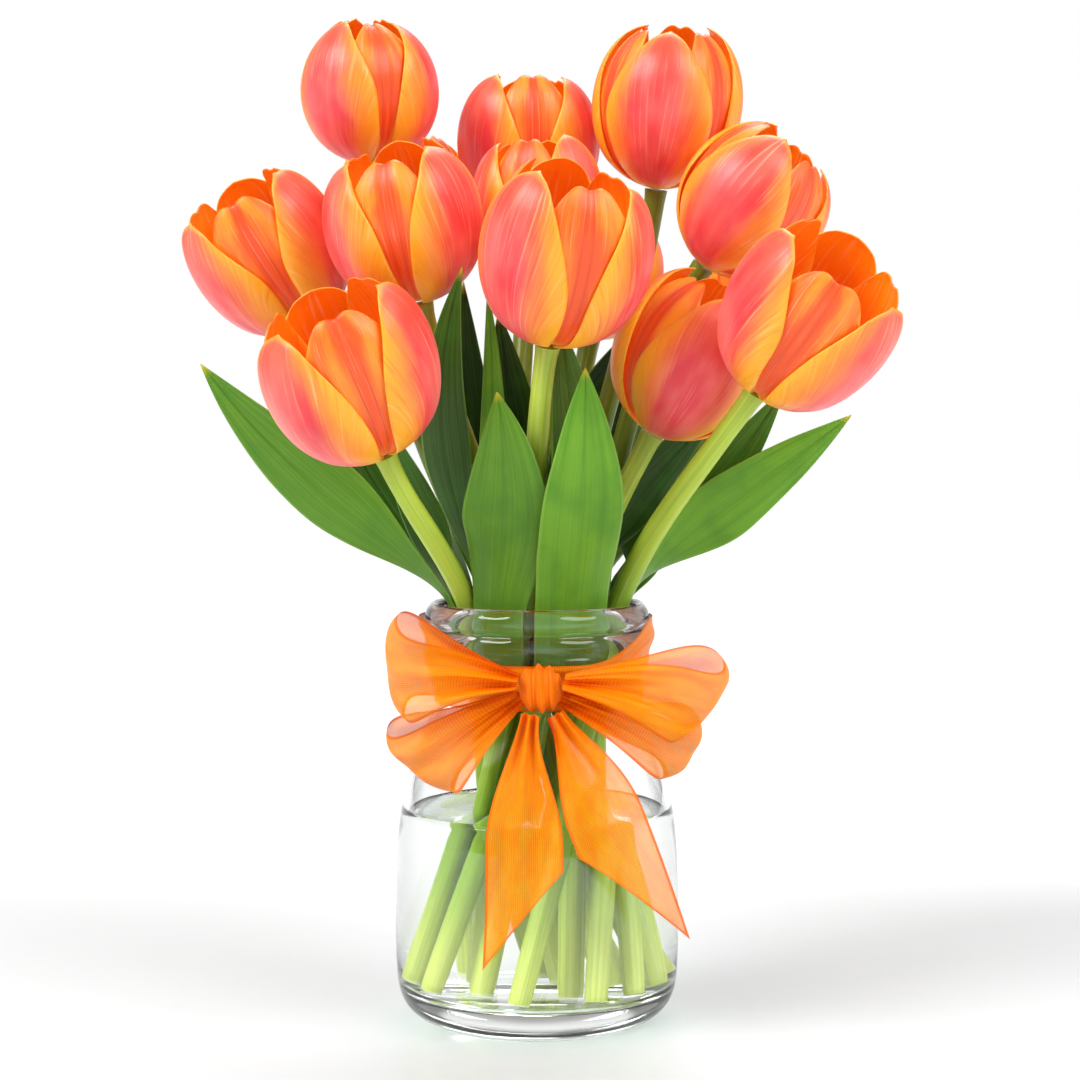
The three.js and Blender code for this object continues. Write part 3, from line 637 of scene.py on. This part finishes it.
# Painted shade: the inside of the cup is a darker red-orange towards its foot.
lining = fade(tree, "#EC4A04", "#FF900E", v, 0.3, 0.95)
lining = fade(tree, lining, "#FFB234", reach, 0.75, 1.05)
skin = outer
for share, other in ((inner, within), (inside, lining)):
    skin = add_node(tree, "ShaderNodeMix", {0: share, 6: skin, 7: other}, data_type="RGBA")
skin = fade(tree, skin, "#FBD250", v, 0.14, 0.0, 0.85)
# Pale streaks along the veins: partly paler veins, partly a painted satin highlight.
skin = fade(tree, skin, "#FFDCB4", veins, 0.54, 0.78, 0.34)
skin = fade(tree, skin, "#E23A22", veins, 0.45, 0.25, 0.35)
# Painted glow: the petal emits its own colour, a little on the outside and more inside the cup.
painted_glow = add_node(tree, "ShaderNodeMath", {0: inside, 1: 0.08, 2: 0.07}, operation="MULTIPLY_ADD")
feed(tree, shader, {
    "Base Color": skin, "Emission Color": skin, "Emission Strength": painted_glow,
    "Normal": add_node(tree, "ShaderNodeBump", {
        "Height": veins, "Strength": 0.45, "Distance": 0.0005})})

chance = np.random.default_rng(5)
across, along = grid(PETAL_COLUMNS, PETAL_ROWS)
uv = np.stack([(across.ravel() + 1) / 2, along.ravel()], axis=1)
for number, (head, turn, cup, neck, foot) in enumerate(TULIPS):
    points, faces, values, uvs = [], [], {"inner": [], "inside": [], "tone": []}, []
    for k in range(6):
        layer = INNER_PETAL if k % 2 else OUTER_PETAL
        sway = math.sin(5.1 * k + 2.3 * number)
        middle = petal_middle(cup, layer, math.radians(-150 + 60 * k), sway, chance.uniform(0, 6),
                              across, along)
        thickness = 0.3 + 0.5 * (1 - across ** 2) * (1 - 0.5 * along)
        petal_points, petal_faces = blade(middle, thickness)
        start = sum(len(p) for p in points)
        faces += [tuple(corner + start for corner in face) for face in petal_faces]
        points.append(petal_points)
        count = len(petal_points)
        uvs += [uv, uv]
        values["inner"].append(np.full(count, k % 2))
        values["inside"].append(np.repeat([0, 1], count // 2))
        values["tone"].append(np.full(count, chance.uniform(0, 1)))
    points = np.vstack(points) @ turn_of(turn).T + head
    bloom = make_piece(f"tulip_bloom_{number + 1:02d}", points, faces, petal_skin, np.vstack(uvs),
                       {key: np.concatenate(parts) for key, parts in values.items()})
    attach(bloom, "root")
    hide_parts(f"bloom_{number + 1:02d}")


# ============================================================ the stamens and pistils
# In each cup stand a pale green pistil with a three-lobed top and, round it, six dark stamens
# on yellow stalks. One set is made by nodes and set upright in every bloom, to the bloom's size.
HEARTS = [(np.array(head), turn_of(turn), cup[1]) for head, turn, cup, neck, foot in TULIPS]

# Where a set stands above the foot of its bloom, and the height of a bloom that it fits in full.
HEART_FOOT = [0, 0, 4.5]
HEART_FITS = 60

# Pistil: a fleshy skin that lets some light in, pale green with yellow patches 2.5 mm across.
pistil_skin, tree, shader = start_finish("tulip_pistil", {
    "Roughness": 0.45, "Subsurface Weight": 0.2, "Subsurface Scale": 0.002})
feed(tree, shader, {"Base Color": add_node(tree, "ShaderNodeMix", {
    0: grain(tree, 400.0), 6: "#B9C45A", 7: "#E3D98C"}, data_type="RGBA")})

# Anther: a dry dark sac, dusted with brown pollen. Its grains of 0.05 mm are drawn as specks of
# 0.6 mm.
anther_skin, tree, shader = start_finish("tulip_anther", {"Roughness": 0.8})
feed(tree, shader, {"Base Color": fade(
    tree, "#2A1420", "#7A4A1E", grain(tree, 1600.0), 0.45, 0.65)})

heart, given, heart_sockets = start_group("bloom_heart", {
    "Places": "Geometry", "Ring": "Float", "Stalk": "Float", "Pistil skin": "Material",
    "Anther skin": "Material"})
stalk = add_node(heart, "GeometryNodeMeshCone", {
    "Vertices": 8, "Side Segments": 3, "Radius Top": 0.0005, "Radius Bottom": 0.0011,
    "Depth": given["Stalk"]})
stalk = add_node(heart, "GeometryNodeSetMaterial", {
    "Geometry": stalk, "Material": given["Pistil skin"]})
anther = add_node(heart, "GeometryNodeMeshUVSphere", {
    "Segments": 12, "Rings": 10, "Radius": 0.001})
anther = add_node(heart, "GeometryNodeTransform", {
    "Geometry": anther, "Translation": (0.0, 0.0, 0.0185), "Scale": (1.3, 2.0, 6.4)})
anther = add_node(heart, "GeometryNodeSetMaterial", {
    "Geometry": anther, "Material": given["Anther skin"]})
stamen = add_node(heart, "GeometryNodeJoinGeometry", {0: [anther, stalk]})
circle = add_node(heart, "GeometryNodeMeshCircle", {"Vertices": 6, "Radius": given["Ring"]})
outwards = add_node(heart, "FunctionNodeAlignEulerToVector", {
    "Vector": add_node(heart, "GeometryNodeInputPosition")}, axis="X", pivot_axis="Z")
stamens = add_node(heart, "GeometryNodeInstanceOnPoints", {
    "Points": circle, "Instance": stamen, "Rotation": outwards})
column = add_node(heart, "GeometryNodeMeshCone", {
    "Vertices": 12, "Side Segments": 6, "Radius Top": 0.0017, "Radius Bottom": 0.0026,
    "Depth": 0.021})
lobe = add_node(heart, "GeometryNodeMeshUVSphere", {"Segments": 12, "Rings": 8, "Radius": 0.0017})
lobes_at = add_node(heart, "GeometryNodeMeshCircle", {"Vertices": 3, "Radius": 0.0019})
lobes = add_node(heart, "GeometryNodeInstanceOnPoints", {"Points": lobes_at, "Instance": lobe})
lobes = add_node(heart, "GeometryNodeTransform", {
    "Geometry": lobes, "Translation": (0.0, 0.0, 0.0212)})
pistil = add_node(heart, "GeometryNodeJoinGeometry", {0: [lobes, column]})
pistil = add_node(heart, "GeometryNodeSetMaterial", {
    "Geometry": pistil, "Material": given["Pistil skin"]})
cluster = add_node(heart, "GeometryNodeJoinGeometry", {0: [pistil, stamens]})
bloom_turn = add_node(heart, "GeometryNodeInputNamedAttribute", {"Name": "turn"},
                    data_type="FLOAT_VECTOR")
bloom_turn = add_node(heart, "FunctionNodeEulerToRotation", {"Euler": bloom_turn})
bloom_size = add_node(heart, "GeometryNodeInputNamedAttribute", {"Name": "size"}, data_type="FLOAT")
placed = add_node(heart, "GeometryNodeInstanceOnPoints", {
    "Points": given["Places"], "Instance": cluster, "Rotation": bloom_turn, "Scale": bloom_size})
placed = add_node(heart, "GeometryNodeRealizeInstances", {"Geometry": placed})
placed = add_node(heart, "GeometryNodeSetShadeSmooth", {"Geometry": placed})
add_node(heart, "NodeGroupOutput", {"Grown": placed})

feet = [((head + turn @ HEART_FOOT) * MM).tolist() for head, turn, size in HEARTS]
places = bpy.data.meshes.new("bloom_hearts")
places.from_pydata(feet, [], [])
angles = [tuple(Matrix(turn.tolist()).to_euler()) for head, turn, size in HEARTS]
turns = places.attributes.new("turn", "FLOAT_VECTOR", "POINT")
turns.data.foreach_set("vector", np.ravel(angles))
sizes = places.attributes.new("size", "FLOAT", "POINT")
sizes.data.foreach_set("value", [size / HEART_FITS for head, turn, size in HEARTS])
hearts = bpy.data.objects.new("stamens_and_pistils", places)
bpy.context.scene.collection.objects.link(hearts)
grow(hearts, heart, heart_sockets, {
    "Ring": 0.0052, "Stalk": 0.014, "Pistil skin": pistil_skin, "Anther skin": anther_skin})
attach(hearts, "root")


# ============================================================ the ribbon
# A 36 mm wide ribbon of sheer orange polyester organza, woven with a dense edge. It goes once
# round the neck, drawn up over the bead, and is tied in front in a bow with four loops.
RIBBON_WIDTH, WEAVE_SCALE = 36, 12.6

# Organza: open plain weave of fine stiff threads, so that what lies behind shows through.
# Its threads are 0.15 mm apart and are drawn 0.9 mm apart. Where it is gathered its layers
# add up to a deep orange.
organza, tree, shader = start_finish("orange_organza", {
    "Roughness": 0.4, "Specular IOR Level": 0.14})
flat = add_node(tree, "ShaderNodeUVMap", uv_map="UVMap")
hem, gather = [add_node(tree, "ShaderNodeAttribute", attribute_name=name).outputs["Fac"]
               for name in ("hem", "gather")]
warp, weft = [add_node(tree, "ShaderNodeTexWave", {
    "Vector": flat, "Scale": WEAVE_SCALE, "Distortion": 0.6, "Detail": 1.0},
    bands_direction=direction).outputs["Fac"] for direction in ("X", "Y")]
weave = add_node(tree, "ShaderNodeMath", {0: warp, 1: weft}, operation="MAXIMUM")
slubs = streaks(tree, flat, (9.0, 3.0, 1.0), 3.0)
crease_shade = streaks(tree, flat, (17.0, 0.9, 1.0))
edge = add_node(tree, "ShaderNodeMapRange", {"Value": hem, "From Min": 1.3, "From Max": 0.8},
                interpolation_type="SMOOTHSTEP")
dye = fade(tree, "#FF8C00", "#FF9E08", slubs, 0.3, 0.7)
dye = add_node(tree, "ShaderNodeMix", {0: gather, 6: dye, 7: "#FF7C00"}, data_type="RGBA")
# Painted shade: darker orange streaks in the folds where the ribbon is gathered, near the knot.
dye = fade(tree, dye, "#E85600", crease_shade, 0.5, 0.7, gather)
dye = add_node(tree, "ShaderNodeMix", {0: edge, 6: dye, 7: "#EC7000"}, data_type="RGBA")
cover = add_node(tree, "ShaderNodeMapRange", {
    "Value": weave, "From Min": 0.3, "From Max": 0.95, "To Min": 0.52, "To Max": 0.84},
    interpolation_type="SMOOTHSTEP")
cover = add_node(tree, "ShaderNodeMath", {0: gather, 1: 0.35, 2: cover}, operation="MULTIPLY_ADD")
edge = add_node(tree, "ShaderNodeMath", {0: edge, 1: 0.95}, operation="MULTIPLY")
cover = add_node(tree, "ShaderNodeMath", {0: cover, 1: edge}, operation="MAXIMUM")
feed(tree, shader, {
    "Base Color": dye, "Alpha": cover, "Normal": add_node(tree, "ShaderNodeBump", {
        "Height": weave, "Strength": 0.25, "Distance": 0.0003})})


def make_sheet(name, middle, flat_width, flat_length, gather, cut_end=False):
    """An open sheet of organza through a grid of points, with its places on the flat cloth."""
    rows, columns = middle.shape[0] - 1, middle.shape[1] - 1
    faces = [face[::-1] for face in grid_faces(rows, columns)]
    across, along = grid(columns, rows)
    uv = np.stack([(across.ravel() + 1) / 2 * flat_width, along.ravel() * flat_length], axis=1)
    hem = (1 - np.abs(across)) * flat_width / 2
    if cut_end:
        hem = np.minimum(hem, (1 - along) * flat_length)
    return make_piece(name, middle.reshape(-1, 3), faces, organza, uv / RIBBON_WIDTH, {
        "hem": hem.ravel(), "gather": gather.ravel()})


# ---- The band round the neck: low at the front, up on the lip at the sides and the back.
BAND_LENGTH = 264
across, along = grid(30, 240)
azimuth = 2 * np.pi * along - np.pi / 2
rise = (across + 1) / 2
band_height = 18 + 16 * smooth((np.sin(azimuth) + 0.95) / 0.7)
z = 129 + band_height * rise
folds = 0.7 * np.sin(9 * rise + 2.5 * np.sin(azimuth + 0.6))
folds += 0.35 * np.sin(19 * rise - 3 * azimuth)
r = 40 + 1.9 + 3.4 * smooth((z - 138) / 8) + 1.4 * smooth((z - 150) / 8) + folds
middle = np.stack([r * np.cos(azimuth), r * np.sin(azimuth), z], axis=-1)
band = make_sheet("ribbon_round_neck", middle, RIBBON_WIDTH, BAND_LENGTH, 0.35 + 0 * z)

# ---- The knot: the ribbon's end wound once round the gathered loops, with its folds upright.
KNOT = np.array([1.4, -49.6, 139])
HALF_WIDTH, HALF_DEPTH, HALF_HEIGHT = 8, 5.8, 8.6
winding, side = np.meshgrid(np.linspace(0, 2 * np.pi, 97)[:-1], np.linspace(-1, 1, 61)[1:-1])
bulge = np.cos(side * np.pi / 2) ** 0.26
ridges = 0.13 * np.cos(11 * side + 0.9 * np.sin(winding + 0.4) + 1.2 * side ** 2)
size = bulge + ridges * np.cos(side * np.pi / 2) ** 0.4
wound = np.stack([HALF_WIDTH * (side + 0.05 * np.sin(winding + 2)),
                  HALF_DEPTH * size * np.cos(winding),
                  HALF_HEIGHT * size * np.sin(winding)], axis=-1).reshape(-1, 3)
points = KNOT + np.vstack([wound, [-HALF_WIDTH, 0, 0], [HALF_WIDTH, 0, 0]])
uv = np.vstack([np.stack([(side.ravel() + 1) / 2, winding.ravel() / 4], axis=1), [[0, 0], [1, 0]]])
knot = make_piece("ribbon_knot_tied", points, ring_faces(*winding.shape), organza, uv, {
    "hem": np.full(len(points), 9.0), "gather": np.full(len(points), 1.0)})
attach(knot, "root")
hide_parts("ribbon_knot")
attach(band, "root")
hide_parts("ribbon_band")

# ---- The loops: gathered to deep folds in the knot, and open and smooth at their far ends.
# A row holds: start, direction in degrees from +X towards +Z, reach, opening, half width,
# slant of the far end in degrees, how far its upper edge hangs forward, its folds' phase, how
# much farther the upper edge reaches than the lower one, and how much it droops there.
LOOPS = {
    "left_high": ((-7.4, -55.2, 142.2), 172, 50, 3.8, 18, -6, 5, 0.6, 5.5, 0),
    "left_low": ((-6.6, -44.9, 135.2), 212, 50, 3, 17, 12, 3, 2.1, 1.5, 0),
    "right_high": ((10.2, -55.2, 142.2), -3, 58, 3.8, 18, -12, 5, 3.4, 4, 7),
    "right_low": ((9.4, -44.9, 135.2), -22, 55, 3, 13, -6, 3, 5.0, 0, 0),
}
LENGTH_PER_REACH = 2.2
jar_radii, jar_heights = np.array(JAR_OUTSIDE[3:]).T


def loop_middle(row, across, along):
    """The middle surface of a loop, which goes out from the knot and comes back under itself."""
    start, angle, reach, opening, width, turn, forward, phase, farther, droop = row
    angle, slant = math.radians(angle), math.radians(angle + 90 + turn)
    away = np.sin(np.pi * along) ** 0.8
    half = 3 + (width - 3) * away
    upper = across if math.sin(slant) > 0 else -across
    out = reach * away * (1 - 0.11 * across ** 4 * away) + farther * upper * away ** 2
    x = start[0] + math.cos(angle) * out + math.cos(slant) * half * across
    z = start[2] + math.sin(angle) * out + math.sin(slant) * half * across
    near = (1 - away) ** 0.9
    folds = 2.4 * np.cos(1.75 * np.pi * across + phase + 0.7 * np.sin(2.4 * across + phase))
    folds += 0.8 * np.cos(4.6 * np.pi * across + 2 * phase)
    folds *= np.minimum(near * 1.6, 1) * (0.3 + 0.7 * near) * np.clip(away / 0.06, 0.35, 1)
    swell = 1.3 * np.sin(2.3 * np.pi * across + 1.7 * phase + 5 * along) * away ** 1.5
    front = np.sqrt(np.maximum(0, np.interp(z, jar_heights, jar_radii) ** 2 - x ** 2)) + 6
    ring = opening * np.sin(2 * np.pi * along) * (1 + 0.8 * away)
    depth = 1.6 * np.cos(np.pi * along) + ring
    z = z - 0.95 * ring * away ** 2 - droop * (upper + 1) / 2 * away ** 5
    y = np.minimum(start[1], -front) - depth - forward * (upper + 0.4) * away ** 2 - folds - swell
    return np.stack([x, y, z], axis=-1)


across, along = grid(56, 110)
for name, row in LOOPS.items():
    length = LENGTH_PER_REACH * row[2]
    loop = make_sheet(f"bow_loop_{name}", loop_middle(row, across, along), 2 * row[4], length,
                      0.95 * (1 - np.sin(np.pi * along)) ** 1.8)
    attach(loop, "root")
    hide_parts(f"ribbon_loop_{name}")

# ---- The tails: they hang in front of the jar and are cut off at a slant.
# A row holds: middle line in x and z, share of the length that the shorter edge lacks, which
# edge is the longer one, and its folds' phase.
TAIL_WIDTH, TAIL_LENGTH = 32, 104
TAILS = {
    "left": (((-2.4, 129.7), (-7, 104), (-3, 78), (-6, 31)), 0.32, -1, 0.4),
    "right": (((7, 129.7), (17, 112), (27, 92), (45, 37)), 0.32, 1, 2.2),
}
across, along = grid(44, 110)
for name, (line, cut, longer, phase) in TAILS.items():
    share = along * (1 - cut * (1 - longer * across) / 2)
    corners = [np.array(corner, dtype=float) for corner in line]
    place = bezier(*corners, share[..., None])
    step = bezier(*corners, share[..., None] + 1e-3) - place
    step /= np.linalg.norm(step, axis=-1, keepdims=True)
    half = 3.6 + 11.2 * smooth(share / 0.6)
    x = place[..., 0] - step[..., 1] * half * across
    z = place[..., 1] + step[..., 0] * half * across
    clear = 59.4 - 6 * smooth((z - 85) / 40)
    pleats = 2.6 * np.cos(2.2 * np.pi * across + phase) * (1 - share) ** 1.7
    swell = 1.1 * np.sin(2.2 * across + 6 * share + phase) * smooth(share / 0.4)
    y = -np.sqrt(clear ** 2 - (0.6 * x) ** 2) - 1.2 - pleats - swell
    middle = np.stack([x, y, z], axis=-1)
    tail = make_sheet(f"bow_tail_{name}", middle, TAIL_WIDTH, TAIL_LENGTH,
                      0.8 * (1 - share) ** 3, cut_end=True)
    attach(tail, "root")
    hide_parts(f"ribbon_tail_{name}")


# ============================================================ the studio
# A white table top and a white room, with large soft lamps: one in front on the left, one on
# the right, and one above and behind that shines through the petals. The table top has a painted
# shadow: it is greyer near the vase and palest far from it, where it runs into the white of the
# room.

# Matt white paint: it mirrors the jar softly, and its mottle, 11 mm across, hardly shows.
paint, tree, shader = start_finish("matt_white_table", {
    "Roughness": 0.35, "Specular IOR Level": 0.25})
place = add_node(tree, "ShaderNodeTexCoord").outputs["Object"]
distance = add_node(tree, "ShaderNodeVectorMath", {0: place}, operation="LENGTH")
# Painted shadow: the paint greys towards the vase, and is palest from half a metre out.
pale = fade(tree, "#D6D8D9", "#EAEAEA", distance.outputs["Value"], 0.08, 0.5)
feed(tree, shader, {"Base Color": fade(tree, pale, "#F4F4F4", grain(tree, 90.0), 0.3, 0.7, 0.03)})
TABLE_REACH, TABLE_BELOW = 6000, -0.3
corners = [(x * TABLE_REACH, y * TABLE_REACH, TABLE_BELOW)
           for x, y in ((-1, -1), (1, -1), (1, 1), (-1, 1))]
floor = make_piece("table_top", corners, [(0, 1, 2, 3)], paint)

# A row holds: the side a lamp shines from, its power, and its spread in degrees.
LAMPS = {
    "soft_sun_front_left": ((-1.3, -0.95, 1.4), 2.6, 30),
    "soft_sun_front_right": ((1.2, -1.0, 1.2), 1.7, 35),
    "soft_sun_behind": ((0.2, 1.0, 1.3), 1.2, 30),
}
for name, (place, power, spread) in LAMPS.items():
    lamp = bpy.data.lights.new(name, "SUN")
    lamp.energy, lamp.angle = power, math.radians(spread)
    lit = bpy.data.objects.new(name, lamp)
    lit.rotation_euler = Vector(place).to_track_quat("Z", "Y").to_euler()
    bpy.context.scene.collection.objects.link(lit)

# The room: white all over, dimmer overhead and behind the camera, with four tall dark cards
# that draw the sides of the glass. The camera itself sees plain white.
room = bpy.data.worlds.new("white_room")
room.use_nodes = True
bpy.context.scene.world = room
tree = room.node_tree
way = add_node(tree, "ShaderNodeTexCoord").outputs["Generated"]
x, y, z = add_node(tree, "ShaderNodeSeparateXYZ", {0: way}).outputs
azimuth = add_node(tree, "ShaderNodeMath", {0: y, 1: x}, operation="ARCTAN2")
quarters = add_node(tree, "ShaderNodeMath", {0: azimuth, 1: 4.0}, operation="MULTIPLY")
quarters = add_node(tree, "ShaderNodeMath", {0: quarters}, operation="COSINE")
level = add_node(tree, "ShaderNodeMath", {0: z}, operation="ABSOLUTE")
level, cards, ceiling, behind_camera = [
    add_node(tree, "ShaderNodeMapRange", {
        "Value": value, "From Min": start, "From Max": end, "To Min": low, "To Max": high},
        interpolation_type="SMOOTHSTEP")
    for value, start, end, low, high in (
        (level, 0.6, 0.45, 0.0, 1.0), (quarters, -0.45, -0.85, 0.0, 1.0),
        (z, 0.1, 0.5, 1.0, 0.4), (y, -0.5, -0.8, 1.0, 0.25))]
cards = add_node(tree, "ShaderNodeMath", {0: cards, 1: level}, operation="MULTIPLY")
light = add_node(tree, "ShaderNodeMath", {0: cards, 1: -0.75, 2: 1.0}, operation="MULTIPLY_ADD")
for dimmed in (ceiling, behind_camera):
    light = add_node(tree, "ShaderNodeMath", {0: light, 1: dimmed}, operation="MULTIPLY")
seen = add_node(tree, "ShaderNodeLightPath").outputs["Is Camera Ray"]
light = add_node(tree, "ShaderNodeMath", {0: light, 1: seen}, operation="MAXIMUM")
feed(tree, tree.nodes["Background"], {"Color": light, "Strength": 1.0})
bpy.context.scene.view_settings.view_transform = "Standard"
bpy.context.scene.cycles.max_bounces = 24
bpy.context.scene.cycles.transmission_bounces = 24
bpy.context.scene.cycles.transparent_max_bounces = 32
